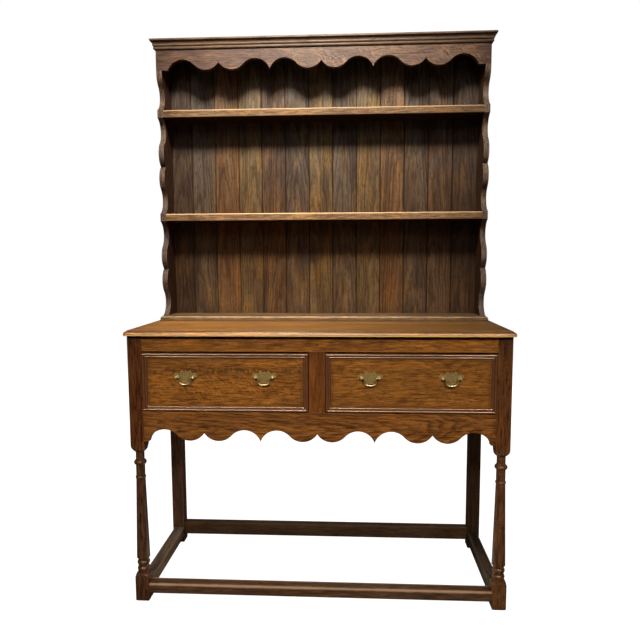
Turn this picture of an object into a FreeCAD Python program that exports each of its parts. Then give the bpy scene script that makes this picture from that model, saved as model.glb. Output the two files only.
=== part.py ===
import FreeCAD, Part
import math
import os
import re
import Sketcher

# A small oak Welsh dresser: an open plate rack on a base with two drawers, turned front legs and a box
# stretcher. Millimetres, +Z up, front towards -Y, origin on the floor under the middle of the top board.

doc = FreeCAD.newDocument("welsh_dresser")

# Driving dimensions
SIZES = {
    # base
    "top_width": 1150, "top_depth": 454, "top_thick": 15.5, "top_thumb": 10, "top_step": 2,
    "base_height": 850, "front_overhang": 18, "side_overhang": 7.5,
    "leg_size": 42, "turning_clearance": 1.8, "foot_chamfer": 4,
    "rail_height": 47.5, "rail_thick": 24, "rail_setback": 1.5,
    "drawer_opening": 182, "apron_height": 90.5, "apron_end": 14.5, "apron_quirk": 4, "muntin_width": 48,
    "tenon_thick": 10, "tenon_length": 24, "tenon_shoulder": 9, "muntin_tenon": 33, "muntin_peg": 21.5,
    "peg_radius": 4, "peg_length": 30, "peg_proud": 0.4, "peg_clearance": 0.05,
    "end_thick": 18, "end_inset": 4, "end_rise": 7.5, "tongue_thick": 8, "tongue_length": 12,
    "base_back_thick": 12, "base_back_inset": 12, "groove_depth": 10,
    # turned part of the front legs
    "block_drop": 12.5, "block_shoulder": 28, "shoulder_curve": 45, "neck_radius": 13, "neck_height": 25,
    "collar_height": 15, "collar_curve": 7.8, "throat_height": 36, "throat_radius": 13.6,
    "bead_height": 7, "bead_curve": 4, "shaft_top_radius": 14, "shaft_foot_radius": 20.3,
    "foot_height": 74, "foot_shoulder": 14, "foot_curve": 19, "groove_radius": 16.2,
    "ring_height": 14, "ring_curve": 10, "ring_gap": 6,
    # stretchers
    "stretcher_low": 26, "front_stretcher_height": 31, "front_stretcher_depth": 38,
    "side_stretcher_height": 35, "side_stretcher_width": 36, "back_stretcher_height": 45,
    "back_stretcher_depth": 30, "back_stretcher_inset": 7, "back_stretcher_low": 32,
    "foot_tenon_length": 14, "foot_tenon_thick": 12, "worn_edge": 7, "eased_edge": 2, "side_edge": 4,
    # scallops: the angles that one compass radius sweeps at the notch and at the ogee
    "notch_angle": 57.4, "ogee_angle": 47.7,
    # drawers
    "drawer_gap": 1.5, "drawer_head_gap": 5, "slide_clearance": 0.3, "drawer_stop_gap": 0.5,
    "drawer_front_thick": 20, "drawer_side_thick": 10, "side_drop": 7, "drawer_back_thick": 10,
    "drawer_bottom_thick": 7, "drawer_bottom_rise": 10, "drawer_groove": 5, "tail_length": 14,
    "tail_root": 24, "tail_tip": 31,
    "moulding_width": 15, "moulding_height": 7, "moulding_lip": 1, "outer_bead": 7.6,
    "outer_bead_curve": 4.1, "inner_bead_curve": 3.7, "bead_quirk": 1.2, "quirk_height": 2.6,
    "runner_height": 20, "runner_ledge": 13, "guide_height": 34, "kicker_height": 20, "kicker_gap": 0.5,
    # brass handles
    "handle_share": 0.47342, "handle_height": 104.5, "post_spacing": 51, "post_reach": 12, "post_ball": 4.6,
    "post_neck": 2.7, "post_flange": 5.5, "flange_thick": 1.5, "shank_radius": 2.4, "shank_clearance": 0.1,
    "shank_proud": 0.4, "plate_thick": 1.6, "plate_half": 36, "plate_rise": 18, "plate_drop": 18,
    "pierced_radius": 2.4, "nut_radius": 4.8, "nut_thick": 3.5, "bail_radius": 2.1, "bail_half": 17.5,
    "bail_drop": 21.5, "bail_curve": 13.5, "bail_bend": 3.2, "pin_reach": 4.1, "pin_clearance": 0.05,
    # rack
    "plinth_inset": 12, "plinth_depth": 136, "plinth_thick": 15, "plinth_thumb": 7, "plinth_step": 2,
    "rack_inset": 19, "rack_depth": 119, "side_thick": 18, "housing_depth": 6,
    "shelf_thick": 25.5, "shelf_setback": 4, "shelf_edge": 3,
    "lower_bay": 325.5, "middle_bay": 321.5, "upper_bay": 128, "frieze_height": 99,
    "frieze_thick": 18, "frieze_end": 22, "rack_top_thick": 15,
    "cornice_height": 33, "cornice_reach": 16, "cornice_fillet": 5.5, "cornice_cove": 10, "cove_toe": 7.5,
    "cornice_toe": 2, "lower_reed": 9.5, "lower_reed_reach": 4.5, "lower_reed_curve": 5.5, "reed_quirk": 1,
    "upper_reed": 8.5, "upper_reed_foot": 5.5, "upper_reed_reach": 6.5, "upper_reed_curve": 5,
    "board_thick": 12, "board_inset": 2, "first_board": 69, "last_board": 86.3, "rabbet_depth": 9,
    "tongue_reach": 6, "board_tongue": 4, "board_vee": 2.5, "board_play": 0.5,
}

# Upright boards in the rack's back
BOARDS = 13

sheet = doc.addObject("Spreadsheet::Sheet", "sizes")
for row, (alias, value) in enumerate(SIZES.items(), start=1):
    sheet.set("A%d" % row, alias)
    sheet.set("B%d" % row, str(value))
    sheet.setAlias("B%d" % row, alias)
doc.recompute()

# Places worked out from the driving dimensions
PLACES = {
    "carcass_half": "top_width/2 - side_overhang",
    "leg_inner": "carcass_half - leg_size",
    "leg_middle": "carcass_half - leg_size/2",
    "front_face": "-top_depth/2 + front_overhang",
    "back_face": "top_depth/2",
    "front_leg_back": "front_face + leg_size",
    "back_leg_front": "back_face - leg_size",
    "under_top": "base_height - top_thick",
    "rail_front": "front_face + rail_setback",
    "rail_back": "rail_front + rail_thick",
    "rail_bottom": "under_top - rail_height",
    "apron_top": "rail_bottom - drawer_opening",
    "apron_base": "apron_top - apron_height",
    "tenon_front": "rail_front + (rail_thick - tenon_thick)/2",
    "tenon_back": "tenon_front + tenon_thick",
    "muntin_half": "muntin_width/2",
    "end_outer": "carcass_half - end_inset",
    "end_inner": "end_outer - end_thick",
    "end_bottom": "apron_base + end_rise",
    "base_back_rear": "back_face - base_back_inset",
    "base_back_front": "base_back_rear - base_back_thick",
    "corner_radius": "leg_size/sqrt(2) + turning_clearance",
    "block_bottom": "apron_base - block_drop",
    "neck_low": "block_bottom - block_shoulder",
    "collar_top": "neck_low - neck_height",
    "collar_low": "collar_top - collar_height",
    "bead_top": "collar_low - throat_height",
    "bead_low": "bead_top - bead_height",
    "foot_groove": "foot_height + foot_shoulder",
    "ring_one_low": "foot_groove + ring_gap",
    "ring_one_top": "ring_one_low + ring_height",
    "ring_two_low": "ring_one_top + ring_gap",
    "ring_two_top": "ring_two_low + ring_height",
    "shaft_low": "ring_two_top + ring_gap",
    "front_stretcher_front": "front_face + 2*rail_setback",
    "side_stretcher_outer": "leg_inner + side_stretcher_width",
    "back_stretcher_front": "back_leg_front + back_stretcher_inset",
    "drawer_low": "apron_top + drawer_gap",
    "drawer_high": "rail_bottom - drawer_head_gap",
    "drawer_inner": "muntin_half + drawer_gap",
    "drawer_outer": "leg_inner - drawer_gap",
    "drawer_middle": "(drawer_inner + drawer_outer)/2",
    "drawer_front_back": "rail_front + drawer_front_thick",
    "drawer_rear": "base_back_front - drawer_stop_gap",
    "bottom_low": "drawer_low + drawer_bottom_rise",
    "bottom_high": "bottom_low + drawer_bottom_thick",
    "side_high": "drawer_high - side_drop",
    "runner_top": "drawer_low - slide_clearance",
    "kicker_low": "side_high + kicker_gap",
    "outer_bead_rise": "outer_bead_curve - sqrt(outer_bead_curve^2 - outer_bead^2/4)",
    "outer_bead_foot": "moulding_height - outer_bead_rise",
    "handle_offset": "handle_share*(drawer_outer - drawer_inner)/2",
    "post_z": "drawer_low + handle_height",
    "hinge_y": "rail_front - post_reach",
    "plinth_top": "base_height + plinth_thick",
    "plinth_half": "top_width/2 - plinth_inset",
    "plinth_front": "back_face - plinth_depth",
    "rack_half": "top_width/2 - rack_inset",
    "rack_inner": "rack_half - side_thick",
    "rack_front": "back_face - rack_depth",
    "lower_shelf_under": "plinth_top + lower_bay",
    "lower_shelf_top": "lower_shelf_under + shelf_thick",
    "upper_shelf_under": "lower_shelf_top + middle_bay",
    "upper_shelf_top": "upper_shelf_under + shelf_thick",
    "frieze_bottom": "upper_shelf_top + upper_bay",
    "total_height": "frieze_bottom + frieze_height",
    "rack_top_low": "total_height - rack_top_thick",
    "cornice_low": "total_height - cornice_height",
    "upper_reed_low": "lower_reed + reed_quirk",
    "upper_reed_top": "upper_reed_low + upper_reed",
    "board_back": "back_face - board_inset",
    "board_front": "board_back - board_thick",
    "first_joint": "-rack_inner + first_board",
    "board_pitch": "(2*rack_inner - first_board - last_board)/%d" % (BOARDS - 2),
    "ogee_rise": "1 - cos(ogee_angle)",
    "pendant_reach": "sqrt(1 - (2*cos(ogee_angle) - 1)^2)",
    "scallop_reach": "sin(notch_angle) + 2*sin(ogee_angle) + pendant_reach",
}


def formula(text):
    """Writes a size or place out in terms of the sheet's cells."""

    def written(match):
        word = match.group()
        if word in SIZES:
            return "sizes." + word
        if word in PLACES:
            return "(" + formula(PLACES[word]) + ")"
        return word

    return re.sub(r"[a-z_]+", written, str(text))


def number(text):
    return float(sheet.evalExpression(formula(text)))


def bind(piece, prop, text):
    piece.setExpression(prop, formula(text))


def place(piece, x, y, z):
    for axis, text in zip("xyz", (x, y, z)):
        bind(piece, "Placement.Base." + axis, text)


nodes = []


def node(piece):
    nodes.append(piece)
    return piece


def span(side, inner, outer):
    """The lower and upper end of a stretch across X, on the left (-1) or right (1)."""
    if side > 0:
        return inner, outer
    return "-(%s)" % outer, "-(%s)" % inner


def box(name, x, y, z):
    """A block between two places along each axis."""
    block = doc.addObject("Part::Box", name)
    for prop, (low, high) in zip(("Length", "Width", "Height"), (x, y, z)):
        bind(block, prop, "(%s) - (%s)" % (high, low))
    place(block, x[0], y[0], z[0])
    return block


def rod(name, radius, length, x, y, z, axis):
    """A round rod from a point, along +X, +Y or +Z."""
    turn = {"x": (FreeCAD.Vector(0, 1, 0), 90), "y": (FreeCAD.Vector(1, 0, 0), -90)}
    cylinder = doc.addObject("Part::Cylinder", name)
    if axis in turn:
        cylinder.Placement.Rotation = FreeCAD.Rotation(*turn[axis])
    bind(cylinder, "Radius", radius)
    bind(cylinder, "Height", length)
    place(cylinder, x, y, z)
    return cylinder


def group(name, pieces):
    together = doc.addObject("Part::Compound", name)
    together.Links = pieces
    return together


def fuse(name, *pieces):
    joined = doc.addObject("Part::MultiFuse", name)
    joined.Shapes = list(pieces)
    joined.Refine = True
    return joined


def cut(name, base, *tools):
    result = doc.addObject("Part::Cut", name)
    result.Base = base
    result.Tool = tools[0] if len(tools) == 1 else group(name + "_tools", list(tools))
    result.Refine = True
    return result


def common(name, first, second):
    result = doc.addObject("Part::Common", name)
    result.Base = first
    result.Tool = second
    return result


def ease(name, kind, base, radius, flat):
    """Rounds or chamfers the straight edges that lie on all of the given planes."""
    doc.recompute()
    picked = []
    for index, edge in enumerate(base.Shape.Edges, start=1):
        bounds = edge.BoundBox
        limits = {"x": (bounds.XMin, bounds.XMax), "y": (bounds.YMin, bounds.YMax),
                  "z": (bounds.ZMin, bounds.ZMax)}
        if all(max(abs(end - number(text)) for end in limits[axis]) < 0.01 for axis, text in flat.items()):
            picked.append((index, number(radius), number(radius)))
    eased = doc.addObject("Part::" + kind, name)
    eased.Base = base
    eased.Edges = picked
    return eased


def sketch_on(body, name, plane):
    drawing = body.newObject("Sketcher::SketchObject", name)
    support = [feature for feature in body.Origin.OriginFeatures if feature.Role == plane]
    drawing.AttachmentSupport = [(support[0], "")]
    drawing.MapMode = "FlatFace"
    return drawing


def fix(drawing, edge, end, corner):
    """Holds a corner of a drawing at its place from the drawing's origin."""
    for direction, text in zip(("DistanceX", "DistanceY"), corner):
        index = drawing.addConstraint(Sketcher.Constraint(direction, -1, 1, edge, end, number(text)))
        drawing.setExpression("Constraints[%d]" % index, formula(text))


def hold_radius(drawing, edge, radius):
    index = drawing.addConstraint(Sketcher.Constraint("Radius", edge, number(radius)))
    drawing.setExpression("Constraints[%d]" % index, formula(radius))


def arc_between(start, end, radius, turn):
    """The short arc from start to end: turn 1 bulges to the right of the way, -1 to the left."""
    way = end - start
    half = way.Length/2
    height = radius - math.sqrt(max(radius**2 - half**2, 0))
    right = FreeCAD.Vector(way.y, -way.x, 0).normalize()
    return Part.Arc(start, (start + end)*0.5 + right*(turn*height), end)


def outline(drawing, corners, arcs=None, closed=True):
    """Draws corners joined by straight edges, or by arcs given as edge: (radius, turn)."""
    arcs = arcs or {}
    points = [FreeCAD.Vector(number(u), number(v), 0) for u, v in corners]
    count = len(points) if closed else len(points) - 1
    ends = []
    for index in range(count):
        start, end = points[index], points[(index + 1) % len(points)]
        if index in arcs:
            radius, turn = arcs[index]
            edge = drawing.addGeometry(arc_between(start, end, number(radius), turn))
            first_gap, last_gap = (drawing.getPoint(edge, end).distanceToPoint(start) for end in (1, 2))
            ends.append((edge, 1, 2) if first_gap < last_gap else (edge, 2, 1))
        else:
            edge = drawing.addGeometry(Part.LineSegment(start, end))
            ends.append((edge, 1, 2))
    for index in range(count):
        edge, first, last = ends[index]
        if closed or index < count - 1:
            following, begin, _ = ends[(index + 1) % count]
            drawing.addConstraint(Sketcher.Constraint("Coincident", edge, last, following, begin))
        fix(drawing, edge, first, corners[index])
        if not closed and index == count - 1:
            fix(drawing, edge, last, corners[index + 1])
        if index in arcs:
            hold_radius(drawing, edge, arcs[index][0])


def ring(drawing, radius, centre):
    middle = FreeCAD.Vector(number(centre[0]), number(centre[1]), 0)
    edge = drawing.addGeometry(Part.Circle(middle, FreeCAD.Vector(0, 0, 1), number(radius)))
    fix(drawing, edge, 3, centre)
    hold_radius(drawing, edge, radius)


def pad(body, drawing, length, reverse=False):
    feature = body.newObject("PartDesign::Pad", body.Name + "_pad")
    feature.Profile = drawing
    feature.Reversed = reverse
    bind(feature, "Length", length)
    return feature


def padded(name, plane, corners, length, arcs=None, reverse=False):
    """A board sawn to an outline: XZ outlines go back along +Y when reversed."""
    body = doc.addObject("PartDesign::Body", name)
    drawing = sketch_on(body, name + "_outline", plane)
    outline(drawing, corners, arcs)
    pad(body, drawing, length, reverse)
    return body


def revolved(name, plane, corners, arcs=None):
    body = doc.addObject("PartDesign::Body", name)
    drawing = sketch_on(body, name + "_section", plane)
    outline(drawing, corners, arcs)
    turned = body.newObject("PartDesign::Revolution", name + "_turned")
    turned.Profile = drawing
    turned.ReferenceAxis = (drawing, ["V_Axis"])
    turned.Angle = 360
    return body


# Scallops: one compass radius gives a crown, a lobe, a notch, a lobe and a crown in every unit
def scallop(unit, middle):
    """Corners of one unit, as places along the edge and depths into the board, without its last pendant."""
    radius = "(%s)/(2*scallop_reach)" % unit
    ogee = "%s*(sin(notch_angle) + sin(ogee_angle))" % radius
    return [
        ("%s - (%s)/2" % (middle, unit), "0"),
        ("%s - %s" % (middle, ogee), "%s*ogee_rise" % radius),
        (middle, "%s*(1 - cos(notch_angle))" % radius),
        ("%s + %s" % (middle, ogee), "%s*ogee_rise" % radius),
    ]


def scallop_arcs(first, unit, units, turn):
    radius = "(%s)/(2*scallop_reach)" % unit
    arcs = {}
    for edge in range(4*units):
        arcs[first + edge] = (radius, turn if edge % 4 in (0, 3) else -turn)
    return arcs


def scalloped_edge(unit, base):
    """The lower edge of a board with three units, from left to right."""
    corners = []
    for step in (-1, 0, 1):
        corners += scallop(unit, "%d*(%s)" % (step, unit))
    corners.append(("1.5*(%s)" % unit, "0"))
    return [(along, "%s + %s" % (base, depth)) for along, depth in corners]


SIDES = (("left", -1), ("right", 1))

# Top board: thumbnail moulding worked on the front and both ends, back edge square
def thumbnailed_board(name, half, front, low, thick, thumb, step):
    shoulder = "%s + %s - %s" % (low, thick, step)
    rounded = box(name + "_slab", ("-(%s)" % half, half), (front, "back_face"), (low, shoulder))
    worked = {"front": {"y": front}, "left": {"x": "-(%s)" % half}, "right": {"x": half}}
    for edge, flat in worked.items():
        rounded = ease(name + "_" + edge, "Fillet", rounded, thumb, dict(flat, z=shoulder))
    field = box(name + "_field", ("-(%s) + %s" % (half, thumb), "%s - %s" % (half, thumb)),
                ("%s + %s" % (front, thumb), "back_face"), (shoulder, "%s + %s" % (low, thick)))
    return node(fuse(name, rounded, field))


thumbnailed_board("top_board", "top_width/2", "-top_depth/2", "under_top", "top_thick",
                  "top_thumb", "top_step")

# Frieze rail over the drawers, apron under them and the muntin between, all tenoned
RAIL_DEPTH = ("rail_front", "rail_back")
TENON_DEPTH = ("tenon_front", "tenon_back")
rail_tenons = {}
apron_tenons = {}
for label, side in SIDES:
    reach = span(side, "leg_inner", "leg_inner + tenon_length")
    rail_tenons[label] = box("rail_tenon_" + label, reach, TENON_DEPTH,
                             ("rail_bottom + tenon_shoulder", "under_top - tenon_shoulder"))
    apron_tenons[label] = box("apron_tenon_" + label, reach, TENON_DEPTH,
                              ("apron_base + 2*tenon_shoulder", "apron_top - tenon_shoulder"))
muntin_cheeks = ("-muntin_half + tenon_shoulder", "muntin_half - tenon_shoulder")
muntin_top_tenon = box("muntin_top_tenon", muntin_cheeks, TENON_DEPTH,
                       ("rail_bottom", "rail_bottom + muntin_tenon"))
muntin_foot_tenon = box("muntin_foot_tenon", muntin_cheeks, TENON_DEPTH,
                        ("apron_top - tenon_length", "apron_top"))

# Draw pegs: a hole through each joint and an oak peg that stands a little proud
peg_places = {"muntin_top": ("0", "rail_bottom + muntin_peg", "rail_front")}
for label, side in SIDES:
    across = "%d*(leg_inner + tenon_length/2)" % side
    peg_places["rail_" + label] = (across, "rail_bottom + 2*rail_height/5", "front_face")
    peg_places["apron_" + label] = (across, "apron_top - 2*apron_height/5", "front_face")
    foot_across = "%d*(leg_inner + foot_tenon_length/2)" % side
    peg_places["foot_" + label] = (foot_across, "stretcher_low + front_stretcher_height/2", "front_face")
peg_holes = {}
pegs = []
for joint, (x, z, face) in peg_places.items():
    length = "rail_thick - 2*peg_proud" if joint == "muntin_top" else "peg_length"
    peg_holes[joint] = rod("peg_hole_" + joint, "peg_radius + peg_clearance", length, x, face, z, "y")
    pegs.append(rod("peg_" + joint, "peg_radius", "(%s) + peg_proud" % length,
                    x, "%s - peg_proud" % face, z, "y"))
node(group("joint_pegs", pegs))

rail_blank = box("frieze_rail_blank", ("-leg_inner", "leg_inner"), RAIL_DEPTH, ("rail_bottom", "under_top"))
rail_tenoned = fuse("frieze_rail_tenoned", rail_blank, rail_tenons["left"], rail_tenons["right"])
node(cut("frieze_rail", rail_tenoned, muntin_top_tenon, peg_holes["rail_left"], peg_holes["rail_right"],
         peg_holes["muntin_top"]))

APRON_UNIT = "(2*leg_inner - 2*apron_end)/3"
apron_corners = [("-leg_inner", "apron_top"), ("-leg_inner", "apron_base - apron_quirk"),
                 ("-1.5*%s" % APRON_UNIT, "apron_base - apron_quirk")]
first_arc = len(apron_corners)
apron_corners += scalloped_edge(APRON_UNIT, "apron_base")
apron_corners += [("1.5*%s" % APRON_UNIT, "apron_base - apron_quirk"),
                  ("leg_inner", "apron_base - apron_quirk"), ("leg_inner", "apron_top")]
apron_board = padded("apron_board", "XZ_Plane", apron_corners, "rail_thick",
                     scallop_arcs(first_arc, APRON_UNIT, 3, -1), reverse=True)
place(apron_board, "0", "rail_front", "0")
apron_tenoned = fuse("apron_tenoned", apron_board, apron_tenons["left"], apron_tenons["right"])
node(cut("apron", apron_tenoned, muntin_foot_tenon, peg_holes["apron_left"], peg_holes["apron_right"]))

muntin_blank = box("centre_muntin_blank", ("-muntin_half", "muntin_half"), RAIL_DEPTH,
                   ("apron_top", "rail_bottom"))
muntin_tenoned = fuse("centre_muntin_tenoned", muntin_blank, muntin_top_tenon, muntin_foot_tenon)
node(cut("centre_muntin", muntin_tenoned, peg_holes["muntin_top"]))

# End boards with tongues in the legs, and the base back board let into grooves in the back legs
end_tongues = {}
for label, side in SIDES:
    board = box("end_board_%s_blank" % label, span(side, "end_inner", "end_outer"),
                ("front_leg_back", "back_leg_front"), ("end_bottom", "under_top"))
    middle = "(end_inner + end_outer)/2"
    end_tongues[label] = box("end_tongue_" + label,
                             span(side, "%s - tongue_thick/2" % middle, "%s + tongue_thick/2" % middle),
                             ("front_leg_back - tongue_length", "back_leg_front + tongue_length"),
                             ("end_bottom + tenon_shoulder", "under_top - tenon_shoulder"))
    node(fuse("end_board_" + label, board, end_tongues[label]))
base_back = node(box("base_back_board", ("-leg_inner - groove_depth", "leg_inner + groove_depth"),
                     ("base_back_front", "base_back_rear"), ("end_bottom", "under_top")))

# Box stretcher near the floor: front, back and two sides, tenoned into the feet
TENON_RISE = "front_stretcher_height/6"


def stretcher(name, x, y, z, tenon_x, tenon_y, tenon_z, worn):
    """A stretcher with a tenon through its middle; worn gives the eased edges and their radius."""
    rounded = box(name + "_blank", x, y, z)
    for order, (radius, flat) in enumerate(worn):
        rounded = ease("%s_worn_%d" % (name, order), "Fillet", rounded, radius, flat)
    tenon = box(name + "_tenon", tenon_x, tenon_y, tenon_z)
    return fuse(name, rounded, tenon), tenon


front_high = "stretcher_low + front_stretcher_height"
front_rear = "front_stretcher_front + front_stretcher_depth"
front_middle = "front_stretcher_front + front_stretcher_depth/2"
front_whole, front_tenon = stretcher(
    "front_stretcher_whole", ("-leg_inner", "leg_inner"), ("front_stretcher_front", front_rear),
    ("stretcher_low", front_high),
    ("-leg_inner - foot_tenon_length", "leg_inner + foot_tenon_length"),
    ("%s - foot_tenon_thick/2" % front_middle, "%s + foot_tenon_thick/2" % front_middle),
    ("stretcher_low + " + TENON_RISE, "%s - %s" % (front_high, TENON_RISE)),
    [("worn_edge", {"y": "front_stretcher_front", "z": front_high}),
     ("eased_edge", {"y": front_rear, "z": front_high}),
     ("eased_edge", {"y": "front_stretcher_front", "z": "stretcher_low"})])
node(cut("front_stretcher", front_whole, peg_holes["foot_left"], peg_holes["foot_right"]))

back_high = "back_stretcher_low + back_stretcher_height"
back_rear = "back_stretcher_front + back_stretcher_depth"
back_middle = "back_stretcher_front + back_stretcher_depth/2"
back_stretcher, back_tenon = stretcher(
    "back_stretcher", ("-leg_inner", "leg_inner"), ("back_stretcher_front", back_rear),
    ("back_stretcher_low", back_high),
    ("-leg_inner - foot_tenon_length", "leg_inner + foot_tenon_length"),
    ("%s - foot_tenon_thick/2" % back_middle, "%s + foot_tenon_thick/2" % back_middle),
    ("back_stretcher_low + " + TENON_RISE, "%s - %s" % (back_high, TENON_RISE)),
    [("eased_edge", {"y": "back_stretcher_front", "z": back_high}),
     ("eased_edge", {"y": back_rear, "z": back_high})])
node(back_stretcher)

side_high = "stretcher_low + side_stretcher_height"
side_tenons = {}
for label, side in SIDES:
    low_x, high_x = span(side, "leg_inner", "side_stretcher_outer")
    middle = "(%s + %s)/2" % (low_x, high_x)
    piece, side_tenons[label] = stretcher(
        "side_stretcher_" + label, (low_x, high_x), ("front_leg_back", "back_leg_front"),
        ("stretcher_low", side_high),
        ("%s - foot_tenon_thick/2" % middle, "%s + foot_tenon_thick/2" % middle),
        ("front_leg_back - foot_tenon_length", "back_leg_front + foot_tenon_length"),
        ("stretcher_low + " + TENON_RISE, "%s - %s" % (side_high, TENON_RISE)),
        [("side_edge", {"x": low_x, "z": side_high}), ("side_edge", {"x": high_x, "z": side_high})])
    node(piece)

# Front legs: a square billet turned between the upper block and the foot
leg_section = [
    ("0", "0"), ("corner_radius", "0"), ("corner_radius", "foot_height"), ("groove_radius", "foot_groove"),
    ("groove_radius", "ring_one_low"), ("groove_radius", "ring_one_top"),
    ("groove_radius", "ring_two_low"), ("groove_radius", "ring_two_top"),
    ("groove_radius", "shaft_low"), ("shaft_foot_radius", "shaft_low + ring_gap/2"),
    ("shaft_top_radius", "bead_low"), ("throat_radius", "bead_top"),
    ("throat_radius", "collar_low"), ("neck_radius", "collar_top"),
    ("neck_radius", "neck_low"), ("corner_radius", "block_bottom"),
    ("corner_radius", "under_top"), ("0", "under_top"),
]
leg_arcs = {2: ("foot_curve", 1), 4: ("ring_curve", 1), 6: ("ring_curve", 1), 10: ("bead_curve", 1),
            12: ("collar_curve", 1), 14: ("shoulder_curve", 1)}
for label, side in SIDES:
    turning = revolved("turning_" + label, "XZ_Plane", leg_section, leg_arcs)
    place(turning, "%d*leg_middle" % side, "front_face + leg_size/2", "0")
    low_x, high_x = span(side, "leg_inner", "carcass_half")
    billet = box("billet_" + label, (low_x, high_x), ("front_face", "front_leg_back"), ("0", "under_top"))
    edges = ({"x": low_x}, {"x": high_x}, {"y": "front_face"}, {"y": "front_leg_back"})
    for order, flat in enumerate(edges):
        name = "billet_%s_foot_%d" % (label, order)
        billet = ease(name, "Chamfer", billet, "foot_chamfer", dict(flat, z="0"))
    shaped = common("turned_leg_" + label, billet, turning)
    node(cut("front_leg_" + label, shaped, rail_tenons[label], apron_tenons[label], end_tongues[label],
             front_tenon, side_tenons[label], peg_holes["rail_" + label], peg_holes["apron_" + label],
             peg_holes["foot_" + label]))

# Back legs: plain square posts
for label, side in SIDES:
    low_x, high_x = span(side, "leg_inner", "carcass_half")
    post = box("back_post_" + label, (low_x, high_x), ("back_leg_front", "back_face"), ("0", "under_top"))
    edges = ({"x": low_x}, {"x": high_x}, {"y": "back_leg_front"}, {"y": "back_face"})
    for order, flat in enumerate(edges):
        name = "back_post_%s_foot_%d" % (label, order)
        post = ease(name, "Chamfer", post, "foot_chamfer", dict(flat, z="0"))
    node(cut("back_leg_" + label, post, end_tongues[label], back_tenon, side_tenons[label], base_back))

# Drawer runners with their guides, and kickers that keep an open drawer level
runner_low = "runner_top - runner_height"
guide_high = "runner_top + guide_height"
kicker_high = "kicker_low + kicker_height"
runners = []
kickers = []
for label, side in SIDES:
    ledge = "%d*(drawer_outer - runner_ledge)" % side
    guide = "%d*leg_inner" % side
    wall = "%d*end_inner" % side
    section = [(ledge, runner_low), (wall, runner_low), (wall, guide_high), (guide, guide_high),
               (guide, "runner_top"), (ledge, "runner_top")]
    runner = padded("runner_" + label, "XZ_Plane", section, "back_leg_front - front_leg_back", reverse=True)
    place(runner, "0", "front_leg_back", "0")
    runners.append(runner)
    kickers.append(box("kicker_" + label, span(side, "drawer_outer - runner_ledge", "end_inner"),
                       ("front_leg_back", "back_leg_front"), ("kicker_low", kicker_high)))
ledge_half = "drawer_inner + runner_ledge"
centre_section = [("-(%s)" % ledge_half, runner_low), (ledge_half, runner_low), (ledge_half, "runner_top"),
                  ("muntin_half", "runner_top"), ("muntin_half", guide_high), ("-muntin_half", guide_high),
                  ("-muntin_half", "runner_top"), ("-(%s)" % ledge_half, "runner_top")]
centre_runner = padded("runner_centre", "XZ_Plane", centre_section, "base_back_front - rail_back",
                       reverse=True)
place(centre_runner, "0", "rail_back", "0")
node(group("drawer_runners", runners + [centre_runner]))
kickers.append(box("kicker_centre", ("-(%s)" % ledge_half, ledge_half),
                   ("rail_back", "base_back_front"), ("kicker_low", kicker_high)))
node(group("drawer_kickers", kickers))


# Drawer moulding: a strip with two beads, mitred at both ends, worked face up along X
def moulding_strip(name, length, turn, x, z):
    """Placed by the middle of its outer edge, with its inner edge turned towards the drawer's middle."""
    far = "moulding_width"
    section = [
        ("0", "0"), ("0", far), ("-moulding_lip", far), ("-quirk_height", "outer_bead + bead_quirk"),
        ("-quirk_height", "outer_bead"), ("-outer_bead_foot", "outer_bead"), ("-outer_bead_foot", "0"),
    ]
    arcs = {2: ("inner_bead_curve", 1), 5: ("outer_bead_curve", 1)}
    run = padded(name + "_run", "YZ_Plane", section, length, arcs)
    place(run, "-(%s)/2" % length, "0", "0")
    face = [("-(%s)/2" % length, "0"), ("(%s)/2" % length, "0"), ("(%s)/2 - %s" % (length, far), far),
            ("-(%s)/2 + %s" % (length, far), far)]
    mitres = padded(name + "_mitres", "XZ_Plane", face, "2*moulding_height")
    strip = common(name, run, mitres)
    strip.Placement.Rotation = FreeCAD.Rotation(FreeCAD.Vector(0, 1, 0), turn)
    place(strip, x, "rail_front", z)
    return strip


# Brass plate: a bat-wing outline, pierced, with holes for the two posts
PLATE_HALF = [
    ("0", "plate_rise"), ("plate_half/6", "plate_rise*0.78"), ("plate_half*0.4", "plate_rise*1.02"),
    ("plate_half*0.58", "plate_rise*0.5"), ("plate_half*0.97", "plate_rise*0.42"),
    ("plate_half*0.9", "-plate_drop*0.2"), ("plate_half*0.6", "-plate_drop*0.36"),
    ("plate_half*0.42", "-plate_drop*0.6"), ("plate_half*0.35", "-plate_drop*0.92"),
    ("0", "-plate_drop*1.03"),
]
PLATE_CURVES = {
    0: ("plate_half*0.2", 1), 1: ("plate_half*0.22", -1), 2: ("plate_half*0.34", 1),
    3: ("plate_half*0.26", -1), 4: ("plate_half*0.21", -1), 5: ("plate_half*0.24", 1),
    6: ("plate_half*0.2", -1), 7: ("plate_half*0.2", 1), 8: ("plate_half*0.4", -1),
}
PIERCINGS = (("plate_half*0.21", "-plate_drop*0.66", "pierced_radius"),
             ("plate_half*0.3", "plate_rise*0.4", "pierced_radius*0.75"))


def handle_plate(name, x):
    body = doc.addObject("PartDesign::Body", name)
    drawing = sketch_on(body, name + "_outline", "XZ_Plane")
    half = len(PLATE_HALF) - 1
    mirrored = [("-(%s)" % u, v) for u, v in PLATE_HALF[1:half]]
    curves = dict(PLATE_CURVES)
    for edge, (radius, turn) in PLATE_CURVES.items():
        curves[2*half - 1 - edge] = (radius, turn)
    outline(drawing, PLATE_HALF + mirrored[::-1], curves)
    for side in (-1, 1):
        ring(drawing, "shank_radius + shank_clearance", ("%d*post_spacing/2" % side, "0"))
        for across, up, radius in PIERCINGS:
            ring(drawing, radius, ("%d*%s" % (side, across), up))
    pad(body, drawing, "plate_thick")
    place(body, x, "rail_front", "post_z")
    return body


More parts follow.
